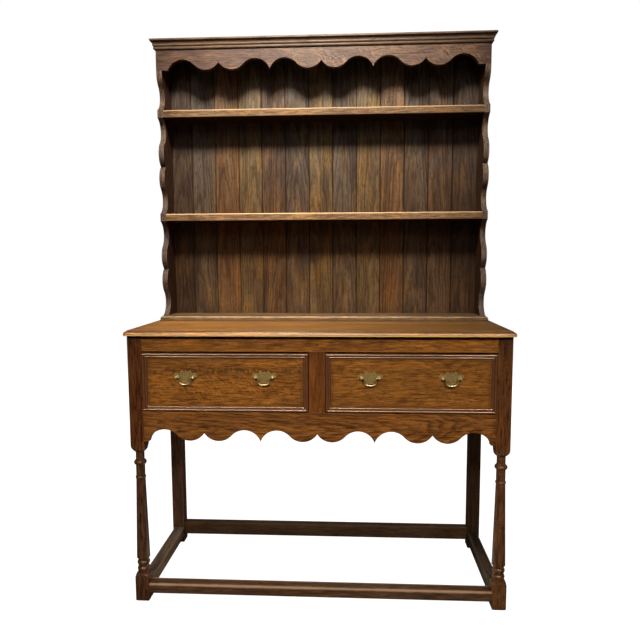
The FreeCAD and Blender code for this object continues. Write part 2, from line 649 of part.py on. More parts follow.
# Brass post: ball head bored for the bail, neck, flange and a shank through the drawer front
def handle_post(name, x):
    ball_foot = "-(post_reach - sqrt(post_ball^2 - post_neck^2))"
    shank_end = "drawer_front_thick + nut_thick + shank_proud"
    section = [("0", "-(post_reach + post_ball)"), ("post_ball", "-post_reach"), ("post_neck", ball_foot),
               ("post_neck", "-plate_thick - flange_thick"), ("post_flange", "-plate_thick - flange_thick"),
               ("post_flange", "-plate_thick"), ("shank_radius", "-plate_thick"),
               ("shank_radius", shank_end), ("0", shank_end)]
    body = revolved(name + "_turned_post", "XY_Plane", section, {0: ("post_ball", 1), 1: ("post_ball", 1)})
    place(body, x, "rail_front", "post_z")
    eye = rod(name + "_eye", "bail_radius + pin_clearance", "4*post_ball",
              "%s - 2*post_ball" % x, "hinge_y", "post_z", "x")
    return cut(name, body, eye)


def handle_nut(name, x):
    hexagon = doc.addObject("Part::Prism", name + "_blank")
    hexagon.Polygon = 6
    hexagon.Placement.Rotation = FreeCAD.Rotation(FreeCAD.Vector(1, 0, 0), -90)
    bind(hexagon, "Circumradius", "nut_radius")
    bind(hexagon, "Height", "nut_thick")
    place(hexagon, x, "drawer_front_back", "post_z")
    bore = rod(name + "_bore", "shank_radius", "2*nut_thick",
               x, "drawer_front_back - nut_thick/2", "post_z", "y")
    return cut(name, hexagon, bore)


# Brass bail: round wire, its two ends turned out as pins that run in the posts' eyes
def handle_bail(name, x):
    body = doc.addObject("PartDesign::Body", name)
    path = sketch_on(body, name + "_path", "XZ_Plane")
    pin_end = "post_spacing/2 + pin_reach"
    half = [(pin_end, "0"), ("bail_half + bail_bend", "0"), ("bail_half", "-bail_bend"),
            ("bail_half", "-bail_drop + bail_curve"), ("bail_half - bail_curve", "-bail_drop")]
    left = [("-(%s)" % u, v) for u, v in half]
    curves = {1: ("bail_bend", -1), 3: ("bail_curve", 1), 5: ("bail_curve", 1), 7: ("bail_bend", -1)}
    outline(path, left + half[::-1], curves, closed=False)
    wire = sketch_on(body, name + "_wire", "YZ_Plane")
    bind(wire, "AttachmentOffset.Base.z", "-(%s)" % pin_end)
    ring(wire, "bail_radius", ("0", "0"))
    pipe = body.newObject("PartDesign::AdditivePipe", name + "_pipe")
    pipe.Profile = wire
    pipe.Spine = path
    place(body, x, "hinge_y", "post_z")
    return node(body)


# Drawers: lapped dovetails at the front, bottom in grooves, back housed in the sides
def tails(name, x):
    body = doc.addObject("PartDesign::Body", name)
    drawing = sketch_on(body, name + "_outline", "YZ_Plane")
    for order in (1, 3, 5):
        middle = "drawer_low + (side_high - drawer_low)*%d/6" % order
        outline(drawing, [("drawer_front_back", "%s - tail_root/2" % middle),
                          ("drawer_front_back - tail_length", "%s - tail_tip/2" % middle),
                          ("drawer_front_back - tail_length", "%s + tail_tip/2" % middle),
                          ("drawer_front_back", "%s + tail_root/2" % middle)])
    body.AllowCompound = True
    pad(body, drawing, "drawer_side_thick")
    place(body, x, "0", "0")
    return body


def drawer(label, side):
    name = label + "_drawer"
    low_x, high_x = span(side, "drawer_inner", "drawer_outer")
    middle = "%d*drawer_middle" % side
    walls = {"left": low_x, "right": "%s - drawer_side_thick" % high_x}
    between_grooves = ("%s + drawer_side_thick - drawer_groove" % low_x,
                       "%s - drawer_side_thick + drawer_groove" % high_x)
    bottom = node(box(name + "_bottom", between_grooves,
                      ("drawer_front_back - drawer_groove", "drawer_rear"), ("bottom_low", "bottom_high")))
    back = node(box(name + "_back", between_grooves,
                    ("drawer_rear - 2*drawer_back_thick", "drawer_rear - drawer_back_thick"),
                    ("bottom_high", "side_high")))
    joints = []
    for wall, x in walls.items():
        dovetails = tails("%s_tails_%s" % (name, wall), x)
        blank = box("%s_side_%s_blank" % (name, wall), (x, "%s + drawer_side_thick" % x),
                    ("drawer_front_back", "drawer_rear"), ("drawer_low", "side_high"))
        tailed = fuse("%s_side_%s_tailed" % (name, wall), blank, dovetails)
        node(cut("%s_side_%s" % (name, wall), tailed, bottom, back))
        joints.append(dovetails)

    plates = []
    posts = []
    holes = []
    for order, grip in enumerate(("left", "right")):
        centre = "%s + %d*handle_offset" % (middle, 2*order - 1)
        plates.append(handle_plate("%s_plate_%s" % (name, grip), centre))
        handle_bail("%s_bail_%s" % (name, grip), centre)
        for hand, sign in SIDES:
            x = "%s + %d*post_spacing/2" % (centre, sign)
            tag = "%s_%s_%s" % (name, grip, hand)
            posts.append(handle_post(tag + "_post", x))
            posts.append(handle_nut(tag + "_nut", x))
            holes.append(rod(tag + "_hole", "shank_radius + shank_clearance",
                             "drawer_front_thick + 2*shank_proud",
                             x, "rail_front - shank_proud", "post_z", "y"))
    node(group(name + "_handle_plates", plates))
    node(group(name + "_handle_posts", posts))

    blank = box(name + "_front_blank", (low_x, high_x), ("rail_front", "drawer_front_back"),
                ("drawer_low", "drawer_high"))
    node(cut(name + "_front", blank, bottom, *(joints + holes)))

    width = "drawer_outer - drawer_inner"
    height = "drawer_high - drawer_low"
    halfway = "(drawer_high + drawer_low)/2"
    strips = [moulding_strip(name + "_moulding_foot", width, 0, middle, "drawer_low"),
              moulding_strip(name + "_moulding_left", height, 90, low_x, halfway),
              moulding_strip(name + "_moulding_head", width, 180, middle, "drawer_high"),
              moulding_strip(name + "_moulding_right", height, -90, high_x, halfway)]
    node(group(name + "_moulding", strips))


for label, side in SIDES:
    drawer(label, side)

# Rack: plinth board, shelves, back boards and the two scalloped sides
thumbnailed_board("plinth_board", "plinth_half", "plinth_front", "base_height", "plinth_thick",
                  "plinth_thumb", "plinth_step")

shelves = []
for name, top in (("lower_shelf", "lower_shelf_top"), ("upper_shelf", "upper_shelf_top")):
    under = "%s - shelf_thick" % top
    front = "rack_front + shelf_setback"
    board = box(name + "_blank", ("-rack_inner - housing_depth", "rack_inner + housing_depth"),
                (front, "board_front"), (under, top))
    upper = ease(name + "_upper_edge", "Fillet", board, "shelf_edge", {"y": front, "z": top})
    shelves.append(node(ease(name, "Fillet", upper, "shelf_edge", {"y": front, "z": under})))

# A rack side from its foot up: two scalloped bays, half a bay under the frieze and the notch that takes it
crown_radius = "middle_bay/(2*scallop_reach)"
half_bay = "upper_shelf_top + middle_bay/2 - %s*" % crown_radius
edge_up = scallop("lower_bay", "(plinth_top + lower_shelf_under)/2") + [("lower_shelf_under", "0")]
edge_up += scallop("middle_bay", "(lower_shelf_top + upper_shelf_under)/2") + [("upper_shelf_under", "0")]
top_crown = len(edge_up)
edge_up += [("upper_shelf_top", "0"),
            (half_bay + "(sin(notch_angle) + sin(ogee_angle))", crown_radius + "*ogee_rise"),
            (half_bay + "sin(notch_angle)", "0"), ("frieze_bottom", "0"),
            ("frieze_bottom", "frieze_thick"), ("rack_top_low", "frieze_thick")]
side_corners = [("rack_front + %s" % depth, up) for up, depth in edge_up]
side_corners += [("back_face", "rack_top_low"), ("back_face", "plinth_top")]
side_arcs = scallop_arcs(0, "lower_bay", 1, 1)
side_arcs.update(scallop_arcs(5, "middle_bay", 1, 1))
side_arcs.update({top_crown: (crown_radius, 1), top_crown + 1: (crown_radius, -1)})
for label, side in SIDES:
    board = padded("rack_side_%s_board" % label, "YZ_Plane", side_corners, "side_thick", side_arcs)
    place(board, span(side, "rack_inner", "rack_half")[0], "0", "0")
    rabbet = box("rabbet_" + label, span(side, "rack_inner", "rack_inner + rabbet_depth"),
                 ("board_front", "back_face"), ("plinth_top", "rack_top_low"))
    node(cut("rack_side_" + label, board, rabbet, *shelves))

# Back boards: tongued and grooved, with a small vee at each joint, upright from plinth to top board
for index in range(BOARDS):
    name = "back_board_%02d" % (index + 1)
    left = "first_joint + %d*board_pitch" % (index - 1)
    right = "first_joint + %d*board_pitch" % index
    middle = "board_front + board_thick/2"
    low, high = "%s - board_tongue/2" % middle, "%s + board_tongue/2" % middle
    if index == 0:
        corners = [("-rack_inner - rabbet_depth", "board_back"),
                   ("-rack_inner - rabbet_depth", "board_front")]
    else:
        groove = "%s + tongue_reach + board_play" % left
        corners = [(left, "board_back"), (left, high), (groove, high), (groove, low), (left, low),
                   (left, "board_front + board_vee"), ("%s + board_vee" % left, "board_front")]
    if index == BOARDS - 1:
        corners += [("rack_inner + rabbet_depth", "board_front"),
                    ("rack_inner + rabbet_depth", "board_back")]
    else:
        tongue = "%s + tongue_reach" % right
        corners += [("%s - board_vee" % right, "board_front"), (right, "board_front + board_vee"),
                    (right, low), (tongue, low), (tongue, high), (right, high), (right, "board_back")]
    board = node(padded(name, "XY_Plane", corners, "rack_top_low - plinth_top"))
    place(board, "0", "0", "plinth_top")

# Frieze board, let into the notches of the sides
FRIEZE_UNIT = "(2*rack_inner - 2*frieze_end)/3"
frieze_corners = [("-rack_half", "rack_top_low"), ("-rack_half", "frieze_bottom")]
first_arc = len(frieze_corners)
frieze_corners += scalloped_edge(FRIEZE_UNIT, "frieze_bottom")
frieze_corners += [("rack_half", "frieze_bottom"), ("rack_half", "rack_top_low")]
frieze = node(padded("rack_frieze", "XZ_Plane", frieze_corners, "frieze_thick",
                     scallop_arcs(first_arc, FRIEZE_UNIT, 3, -1), reverse=True))
place(frieze, "0", "rack_front", "0")

node(box("rack_top_board", ("-rack_half", "rack_half"), ("rack_front", "back_face"),
         ("rack_top_low", "total_height")))

# Cornice: a square fillet over a cove and two reeds, mitred where the front meets the returns
CORNICE_SECTION = [
    ("0", "0"), ("-cornice_toe", "0"), ("-lower_reed_reach", "lower_reed"),
    ("-lower_reed_reach", "upper_reed_low"), ("-upper_reed_foot", "upper_reed_low"),
    ("-upper_reed_reach", "upper_reed_top"), ("-cove_toe", "upper_reed_top"),
    ("-cornice_reach", "cornice_height - cornice_fillet"), ("-cornice_reach", "cornice_height"),
    ("0", "cornice_height"),
]
CORNICE_ARCS = {1: ("lower_reed_curve", -1), 4: ("upper_reed_curve", -1), 6: ("cornice_cove", 1)}


def cornice_run(name, length, plan):
    run = padded(name + "_run", "YZ_Plane", CORNICE_SECTION, length, CORNICE_ARCS)
    trim = padded(name + "_plan", "XY_Plane", plan, "cornice_height")
    return run, trim


front_half = "rack_half + cornice_reach"
run, trim = cornice_run("cornice_front", "2*(%s)" % front_half,
                        [("-(%s)" % front_half, "-cornice_reach"), (front_half, "-cornice_reach"),
                         ("rack_half", "0"), ("-rack_half", "0")])
place(run, "-(%s)" % front_half, "0", "0")
cornice_front = node(common("cornice_front", run, trim))
place(cornice_front, "0", "rack_front", "cornice_low")

returns = []
return_length = "back_face - rack_front + cornice_reach"
for label, side in SIDES:
    name = "cornice_return_" + label
    # a right return runs from the back to the front, a left one the other way, both facing outwards
    mitre_end = "%d*(%s)" % (-side, return_length)
    inner_end = "%d*(%s - cornice_reach)" % (-side, return_length)
    plan = [(mitre_end, "-cornice_reach"), ("0", "-cornice_reach"), ("0", "0"), (inner_end, "0")]
    run, trim = cornice_run(name, return_length, plan)
    if side > 0:
        place(run, "-(%s)" % return_length, "0", "0")
    piece = common(name, run, trim)
    piece.Placement.Rotation = FreeCAD.Rotation(FreeCAD.Vector(0, 0, 1), 90*side)
    place(piece, "%d*rack_half" % side, "back_face", "cornice_low")
    returns.append(piece)
node(group("cornice_returns", returns))

doc.recompute()

for thing in doc.Objects:
    if "Invalid" in thing.State or "Error" in thing.State:
        raise RuntimeError("%s failed to build" % thing.Label)
for piece in nodes:
    if piece.Shape.isNull() or not piece.Shape.isValid():
        raise RuntimeError("%s has no valid shape" % piece.Label)

os.makedirs("parts", exist_ok=True)
for piece in nodes:
    piece.Shape.exportStep("parts/%s.step" % piece.Label)
print("%d nodes" % len(nodes))
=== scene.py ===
import math

import bmesh
import bpy
from mathutils import Euler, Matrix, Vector


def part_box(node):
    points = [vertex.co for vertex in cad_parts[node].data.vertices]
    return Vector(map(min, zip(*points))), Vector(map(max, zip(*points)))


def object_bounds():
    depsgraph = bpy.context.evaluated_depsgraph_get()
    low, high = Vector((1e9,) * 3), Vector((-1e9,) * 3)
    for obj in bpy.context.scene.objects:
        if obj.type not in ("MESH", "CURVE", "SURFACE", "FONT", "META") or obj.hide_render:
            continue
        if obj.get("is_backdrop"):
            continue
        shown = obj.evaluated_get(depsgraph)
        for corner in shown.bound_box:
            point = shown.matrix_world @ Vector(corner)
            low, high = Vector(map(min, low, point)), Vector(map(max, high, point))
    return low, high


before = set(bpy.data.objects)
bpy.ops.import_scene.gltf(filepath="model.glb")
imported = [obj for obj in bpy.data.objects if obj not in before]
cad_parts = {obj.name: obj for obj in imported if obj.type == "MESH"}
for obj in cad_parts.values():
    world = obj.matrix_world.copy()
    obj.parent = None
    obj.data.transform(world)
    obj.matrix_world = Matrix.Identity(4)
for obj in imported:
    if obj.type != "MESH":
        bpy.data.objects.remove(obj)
cad_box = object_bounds()


# Front legs: square oak billets turned between the upper block and the foot, the grain upright.
# Stained dark, waxed and rubbed. The right one was sawn nearer the quarter, so its rays show.
def start_finish(name):
    """A new material with its shader, and functions that add, join, fade and mix nodes in it."""
    finish = bpy.data.materials.new(name)
    finish.use_nodes = True
    tree = finish.node_tree
    shader = tree.nodes["Principled BSDF"]

    def feed(socket, source):
        if isinstance(source, bpy.types.Node):
            tree.links.new(source.outputs[0], socket)
        elif isinstance(source, bpy.types.NodeSocket):
            tree.links.new(source, socket)
        else:
            socket.default_value = source

    def add(kind, *sources, **named):
        step = tree.nodes.new("ShaderNode" + kind)
        for key, value in named.items():
            if key[0].islower():
                setattr(step, key, value)
        for key, value in named.items():
            if key[0].isupper():
                feed(step.inputs[key.replace("_", " ")], value)
        for socket, source in zip(step.inputs, sources):
            feed(socket, source)
        return step

    def fade(value, start, end, low=0.0, high=1.0):
        return add("MapRange", value, start, end, low, high, interpolation_type="SMOOTHSTEP")

    def mix(amount, first, second, way="MIX"):
        step = add("Mix", data_type="RGBA", blend_type=way)
        feed(step.inputs[0], amount)
        feed(step.inputs[6], first)
        feed(step.inputs[7], second)
        return step.outputs[2]

    return finish, shader, feed, add, fade, mix


def shaded(tone, red, green, blue):
    return (tone[0]*red, tone[1]*green, tone[2]*blue, 1)


X, Y, Z = 0, 1, 2


def oak(board, along, across, tone, heart=(0.0, 0.05), ring=0.006, taper=0.03, rings_show=0.35,
        fibres_show=1.1, fibre_pitch=20, warm=(1.40, 1.32, 1.00, 1), cool=(0.66, 0.62, 0.62, 1),
        mottle=0.7, streak=0.6, open_pores=0.6, fleck=0.0, fleck_from=None, fleck_tone=(1.9, 1.8, 1.7),
        slant=0.0, knots=(), swirls=(), band=None, drift=None, end_darkening=0.3, rim_grime_and_shade=0.0, joint=0.0, quirk_shade=None,
        plinth_shadow_line=None, wear_and_highlight=0.4, worn_and_lit=2.0, bleach_and_highlight=1.0, reach=0.0075, uneven=0.006, low_wear_and_highlight=1.0,
        high_wear_and_highlight=1.0, seat_shade=0.0, sawn_edge_and_light=None, underside_shade=None, relief=0.35, rough=0.46, gloss=0.15,
        tint=(1.0, 0.82, 0.62, 1), rounding=0.0012, seed=0.0):
    """Oak for one board: rings about the tree's heart, fibres, pores, rays, stained tone and darker ends;
    arrises paled by use and by painted highlights; painted shade.
    """
    finish, shader, feed, add, fade, mix = start_finish(board + "_oak")
    low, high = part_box(board)
    half = (high - low)/2
    placed = add("TexCoord").outputs["Object"]
    local = add("VectorMath", placed, (low + high)/2, operation="SUBTRACT")
    parts = add("SeparateXYZ", local)
    lengthways = parts.outputs[along]
    crossways = parts.outputs[across]
    laid = add("CombineXYZ", lengthways, crossways, parts.outputs[3 - along - across])
    moved = add("VectorMath", laid, (1.37*seed, 2.71*seed, 3.53*seed), operation="ADD")

    def figure(stretch, detail, rough=0.55, source=moved):
        stretched = add("VectorMath", source, stretch, operation="MULTIPLY")
        return add("TexNoise", Vector=stretched, Scale=1.0, Detail=detail, Roughness=rough)

    def times(first, second):
        return add("Math", first, second, operation="MULTIPLY")

    def spread(pattern, lift):
        """A pattern from 0 to 1, times the lift and centred on 0."""
        return add("Math", pattern, lift, -0.5*lift, operation="MULTIPLY_ADD")

    # a dark colour for streaks, pores, knots, joints and darker ends, also used for painted shade
    dark_grain_and_shade = shaded(tone, 0.30, 0.24, 0.22)

    # growth rings, swayed by the tree's growth and pushed aside by knots
    from_heart = add("VectorMath", laid, (0, heart[0], heart[1]), operation="SUBTRACT")
    radial = add("VectorMath", from_heart, (0, 1, 1), operation="MULTIPLY")
    radius = add("VectorMath", radial, operation="LENGTH").outputs["Value"]
    climbed = add("Math", lengthways, taper, radius, operation="MULTIPLY_ADD")
    swayed = add("Math", figure((2.6, 12, 12), 3), 0.040, climbed, operation="MULTIPLY_ADD")
    wavered = add("Math", figure((14, 70, 70), 3), 0.0060, swayed, operation="MULTIPLY_ADD")
    knotted = []
    for place, height, size in knots + swirls:
        away = add("VectorMath", laid, (place, height, 0), operation="SUBTRACT")
        flat = add("VectorMath", away, (0.55, 1, 0), operation="MULTIPLY")
        gap = add("VectorMath", flat, operation="LENGTH").outputs["Value"]
        wavered = add("Math", fade(gap, 0.0, 4*size, 1.0, 0.0), size, wavered, operation="MULTIPLY_ADD")
        if (place, height, size) in knots:
            knotted.append(fade(gap, 0.25*size, size, 0.75, 0.0))
    turns = times(wavered, 1/ring)
    year = add("Math", turns, operation="FRACT")
    vigour = add("TexWhiteNoise", W=add("Math", turns, operation="FLOOR"), noise_dimensions="1D")
    wood = times(fade(year, 0.0, 0.6), fade(year, 0.82, 1.0, 1.0, 0.0))
    rings = add("Math", wood, 0.55, times(vigour, 0.45), operation="MULTIPLY_ADD")
    long_fibres = fade(figure((fibre_pitch, 200, 200), 4, 0.70), 0.33, 0.67)
    short_fibres = figure((45, 420, 420), 3, 0.6)
    fibres = add("Math", long_fibres, 0.7, times(short_fibres, 0.3), operation="MULTIPLY_ADD")
    lively = add("Math", spread(rings, rings_show), spread(fibres, fibres_show), operation="ADD")
    lively = add("Math", lively, 0.5, operation="ADD", use_clamp=True)
    colour = mix(lively, shaded(tone, 0.42, 0.36, 0.32), shaded(tone, 1.58, 1.64, 1.68))

    # patches of warmer and cooler stain, long dark streaks and open pores
    colour = mix(fade(figure((6, 24, 24), 3, 0.6), 0.48, 0.66, 0.0, mottle), colour, warm, "MULTIPLY")
    colour = mix(fade(figure((4.5, 19, 19), 3, 0.6), 0.58, 0.38, 0.0, mottle), colour, cool, "MULTIPLY")
    colour = mix(fade(figure((1.8, 85, 85), 4, 0.6), 0.56, 0.74, 0.0, streak), colour, dark_grain_and_shade)
    pores = fade(figure((52, 390, 390), 2), 0.54, 0.65)
    colour = mix(times(pores, open_pores), colour, dark_grain_and_shade)
    for knot in knotted:
        colour = mix(knot, colour, dark_grain_and_shade)

    # ray flecks run across the grain as short wavy ribbons
    if fleck:
        skewed = add("CombineXYZ", add("Math", crossways, slant, lengthways, operation="MULTIPLY_ADD"),
                     crossways, parts.outputs[3 - along - across])
        ribbon = figure((130, 34, 34), 3, 0.5, skewed)
        ridge = add("Math", add("Math", ribbon, 0.5, operation="SUBTRACT"), operation="ABSOLUTE")
        showing = fade(figure((8, 14, 14), 2), 0.42, 0.62, 0.0, fleck)
        if fleck_from is not None:
            showing = times(showing, fade(lengthways, fleck_from, fleck_from + 0.25))
        colour = mix(times(fade(ridge, 0.005, 0.040, 1.0, 0.0), showing), colour, shaded(tone, *fleck_tone))
    if band:
        height, width, strength = band
        wander = add("Math", figure((9, 30, 30), 3), 0.05, crossways, operation="MULTIPLY_ADD")
        off = add("Math", add("Math", wander, height + 0.025, operation="SUBTRACT"), operation="ABSOLUTE")
        broken = fade(figure((120, 60, 60), 3, 0.6), 0.44, 0.56)
        banded = times(fade(off, 0.0, width, strength, 0.0), broken)
        colour = mix(banded, colour, shaded(tone, 0.32, 0.36, 0.55))
    if drift:
        start, end, change = drift
        colour = mix(fade(lengthways, start, end), colour, change, "MULTIPLY")

    # darker ends, grime with painted shade at rims, dark joints, painted shade at quirks and seats, a
    # painted shadow line, then arrises paled by wear and painted highlight, sawn edges paler partly as
    # painted light, undersides given painted shade
    from_middle = add("VectorMath", local, operation="ABSOLUTE")
    inside = add("VectorMath", tuple(half), from_middle, operation="SUBTRACT")
    gaps = add("SeparateXYZ", inside)
    patchy = figure((18, 18, 18), 3)
    # the colour grows darker towards both ends of the board
    from_end = add("Math", patchy, -0.03, gaps.outputs[along], operation="MULTIPLY_ADD")
    colour = mix(fade(from_end, -0.02, 0.035, end_darkening, 0.0), colour, dark_grain_and_shade)
    from_rim = add("Math", gaps.outputs[along], gaps.outputs[across], operation="MINIMUM")
    # near the rim the colour is darker: partly grime, partly painted shade cast by a planted bead
    if rim_grime_and_shade:
        colour = mix(fade(from_rim, 0.013, 0.030, rim_grime_and_shade, 0.0), colour, dark_grain_and_shade)
    if joint:
        colour = mix(fade(gaps.outputs[across], 0.0012, 0.0042, joint, 0.0), colour, dark_grain_and_shade)
    # painted shade along the quirk of a thumbnail moulding
    if quirk_shade:
        off_quirk_shade = add("Math", add("Math", from_rim, quirk_shade, operation="SUBTRACT"), operation="ABSOLUTE")
        colour = mix(fade(off_quirk_shade, 0.0030, 0.0055, 0.85, 0.0), colour, dark_grain_and_shade)
    # a painted shadow line across the board at a given world place, along the foot of the plinth
    if plinth_shadow_line:
        off_shadow_line = add("Math", plinth_shadow_line, add("SeparateXYZ", placed).outputs[Y], operation="SUBTRACT")
        off_shadow_line = add("Math", off_shadow_line, operation="ABSOLUTE")
        colour = mix(fade(off_shadow_line, 0.014, 0.022, 0.92, 0.0), colour, dark_grain_and_shade)
    # arrises paled partly by wear and partly as a painted highlight, weighted to the upper or lower arrises
    lower = add("Math", gaps.outputs[0], gaps.outputs[1], operation="MINIMUM")
    upper = add("Math", gaps.outputs[0], gaps.outputs[1], operation="MAXIMUM")
    third = add("Math", upper, gaps.outputs[2], operation="MINIMUM")
    arris = add("Math", lower, third, operation="MAXIMUM")
    patchy_edge_gap = add("Math", patchy, uneven, arris, operation="MULTIPLY_ADD")
    wear_and_highlight_by_height = fade(parts.outputs[Z], -0.4*half[Z], 0.4*half[Z], wear_and_highlight*low_wear_and_highlight, wear_and_highlight*high_wear_and_highlight)
    wear_and_highlight_mask = times(fade(patchy_edge_gap, 0.4*reach, reach, 1.0, 0.0), wear_and_highlight_by_height)
    colour = mix(wear_and_highlight_mask, colour, shaded(tone, worn_and_lit, worn_and_lit*bleach_and_highlight, worn_and_lit*bleach_and_highlight*bleach_and_highlight))
    # painted shade along the board's lowest edge, where it sits on another part
    if seat_shade:
        above = add("Math", parts.outputs[Z], half[Z], operation="ADD")
        colour = mix(fade(above, 0.0015, 0.0045, seat_shade, 0.0), colour, dark_grain_and_shade)
    if sawn_edge_and_light or underside_shade:
        facing = add("SeparateXYZ", add("NewGeometry").outputs["Normal"])
    # faces that do not face sideways are paler: partly sawn end grain, partly painted light
    if sawn_edge_and_light:
        sideways = add("Math", facing.outputs[X], operation="ABSOLUTE")
        colour = mix(fade(sideways, 0.3, 0.7, 1.0, 0.0), colour, sawn_edge_and_light, "MULTIPLY")
    # painted shade on faces that point down
    if underside_shade:
        colour = mix(fade(facing.outputs[Z], -0.7, -0.3, 1.0, 0.0), colour, underside_shade, "MULTIPLY")
    feed(shader.inputs["Base Color"], colour)

    # waxed surface: duller in the pores, with the arrises a little rounded
    waxed = add("Math", fibres, 0.45*relief, rough - 0.22*relief, operation="MULTIPLY_ADD")
    feed(shader.inputs["Roughness"], add("Math", pores, 0.43*relief, waxed, operation="MULTIPLY_ADD"))
    grain = add("Math", rings, 0.4, times(fibres, 0.8), operation="MULTIPLY_ADD")
    grain = add("Math", grain, pores, operation="SUBTRACT")
    bumpy = add("Bump", Strength=relief, Distance=0.0006, Height=grain)
    if rounding:
        feed(bumpy.inputs["Normal"], add("Bevel", Radius=rounding, samples=4))
    feed(shader.inputs["Normal"], bumpy)
    shader.inputs["IOR"].default_value = 1.48
    shader.inputs["Specular IOR Level"].default_value = gloss
    shader.inputs["Specular Tint"].default_value = tint
    return finish


def dress(node, finish):
    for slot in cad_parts[node].material_slots:
        slot.material = finish


leg_tones = {"left": (0.040, 0.0108, 0.0021), "right": (0.045, 0.0142, 0.0033)}
leg_drifts = {"left": (0.82, 1.25, 3.0, 1), "right": (1.05, 1.35, 2.1, 1)}
for order, (side, tone) in enumerate(leg_tones.items()):
    leg = "front_leg_" + side
    dress(leg, oak(leg, Z, X, tone, heart=(0.03, 0.02), fibres_show=1.6, fleck=0.9*order,
                   drift=(0.12, 0.02, leg_drifts[side]), rough=0.31, gloss=0.35, seed=1.0 + order))

# Back legs: plain square oak posts, pegless and out of the way.
# They are less handled than the front ones, so their wax has dulled.
back_leg_tones = {"left": (0.024, 0.0107, 0.0055), "right": (0.0120, 0.0046, 0.0016)}
for order, (side, tone) in enumerate(back_leg_tones.items()):
    leg = "back_leg_" + side
    dress(leg, oak(leg, Z, X, tone, heart=(0.03, 0.02), rough=0.52, gloss=0.12, seed=3.0 + order))

# Box stretcher: four oak bars tenoned into the feet, near the floor.
# The front one is worn round and pale along its upper edge by shoes, and that edge is also a painted
# highlight.
# The right one is darkened with painted shade, most of all towards the back.
bars = {"front_stretcher": (X, (0.040, 0.0195, 0.0098), 0.75, 5.2, None),
        "back_stretcher": (X, (0.018, 0.0085, 0.004), 0.3, 2.0, None),
        "side_stretcher_left": (Y, (0.054, 0.034, 0.022), 0.3, 2.0, None),
        "side_stretcher_right": (Y, (0.026, 0.016, 0.010), 0.3, 2.0, (-0.12, 0.10, (0.30, 0.33, 0.40, 1)))}
for order, (bar, (along, tone, wear_and_highlight, worn_and_lit, drift)) in enumerate(bars.items()):
    dress(bar, oak(bar, along, Z, tone, heart=(0.02, 0.03), drift=drift, wear_and_highlight=wear_and_highlight, worn_and_lit=worn_and_lit, bleach_and_highlight=1.2,
                   reach=0.012, low_wear_and_highlight=0.0, rough=0.48, gloss=0.15, seed=5.0 + order))

# Frieze rail, apron and muntin: oak boards, the first two tenoned into the front legs and pegged.
# The muntin is tenoned between them. Its grain is upright, and it is redder.
rail_tone = (0.122, 0.0440, 0.0074)
apron_tone = (0.083, 0.0295, 0.0058)
muntin_tone = (0.072, 0.0215, 0.0032)
dress("frieze_rail", oak("frieze_rail", X, Z, rail_tone, heart=(0.01, 0.03), taper=0.05, streak=0.7,
                          gloss=0.12, seed=9.0))
dress("apron", oak("apron", X, Z, apron_tone, heart=(-0.01, 0.03), taper=0.07, rings_show=0.8,
                   fibres_show=1.3, streak=0.8, swirls=((0.45, -0.02, 0.022),), end_darkening=0.6, wear_and_highlight=0.2,
                   gloss=0.12, seed=10.0))
dress("centre_muntin", oak("centre_muntin", Z, X, muntin_tone, heart=(0.02, 0.03), rings_show=0.2,
                           fibres_show=0.8, streak=0.3, open_pores=0.5, wear_and_highlight=0.1, gloss=0.12, seed=11.0))

# Draw pegs: riven oak pins driven through the tenons.
# They are left standing a little proud with their dark end grain outwards.
peg_tone = (0.070, 0.023, 0.0045)
dress("joint_pegs", oak("joint_pegs", Y, X, peg_tone, seed=12.0))

# End boards and base back board: wide oak panels.
# The ends are tongued into the legs and the back is let into grooves.
panel_tone = (0.120, 0.048, 0.015)
panels = {"end_board_left": Y, "end_board_right": Y, "base_back_board": X}
for order, (panel, along) in enumerate(panels.items()):
    dress(panel, oak(panel, along, Z, panel_tone, heart=(0.02, 0.04), taper=0.05, rings_show=0.5,
                     seed=13.0 + order))

# Drawer runners, guides and kickers: plain strips from front to back inside the base.
# Two sets lie along the end boards and one between the drawers.
# Their oak was never stained or waxed, so it is pale and dull.
bare_tone = (0.200, 0.115, 0.055)
for order, strip in enumerate(("drawer_runners", "drawer_kickers")):
    dress(strip, oak(strip, Y, X, bare_tone, rough=0.62, gloss=0.25, seed=17.0 + order))

# Top board: one wide oak board with a thumbnail moulding round the front and ends.
# It is the most handled surface, so it is golden and has a rubbed edge, paler on the lower half of the
# thumbnail as a painted highlight.
# A painted pool of light makes it brighter towards the left end.
# Painted shade darkens the moulding's quirk, and a painted shadow lies along the foot of the plinth.
top_tone = (0.222, 0.098, 0.0235)
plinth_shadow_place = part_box("plinth_board")[0].y - 0.022
dress("top_board", oak("top_board", X, Y, top_tone, heart=(0.05, 0.04), taper=0.04, fibres_show=0.8,
                       streak=0.4, drift=(0.1, -0.5, (1.5, 1.45, 1.4, 1)), quirk_shade=0.0075,
                       plinth_shadow_line=plinth_shadow_place, wear_and_highlight=0.8, worn_and_lit=2.4, bleach_and_highlight=1.25, reach=0.005, uneven=0.001,
                       high_wear_and_highlight=0.1, relief=0.15, rough=0.32, gloss=0.7, tint=(1.0, 0.88, 0.72, 1),
                       seed=20.0))

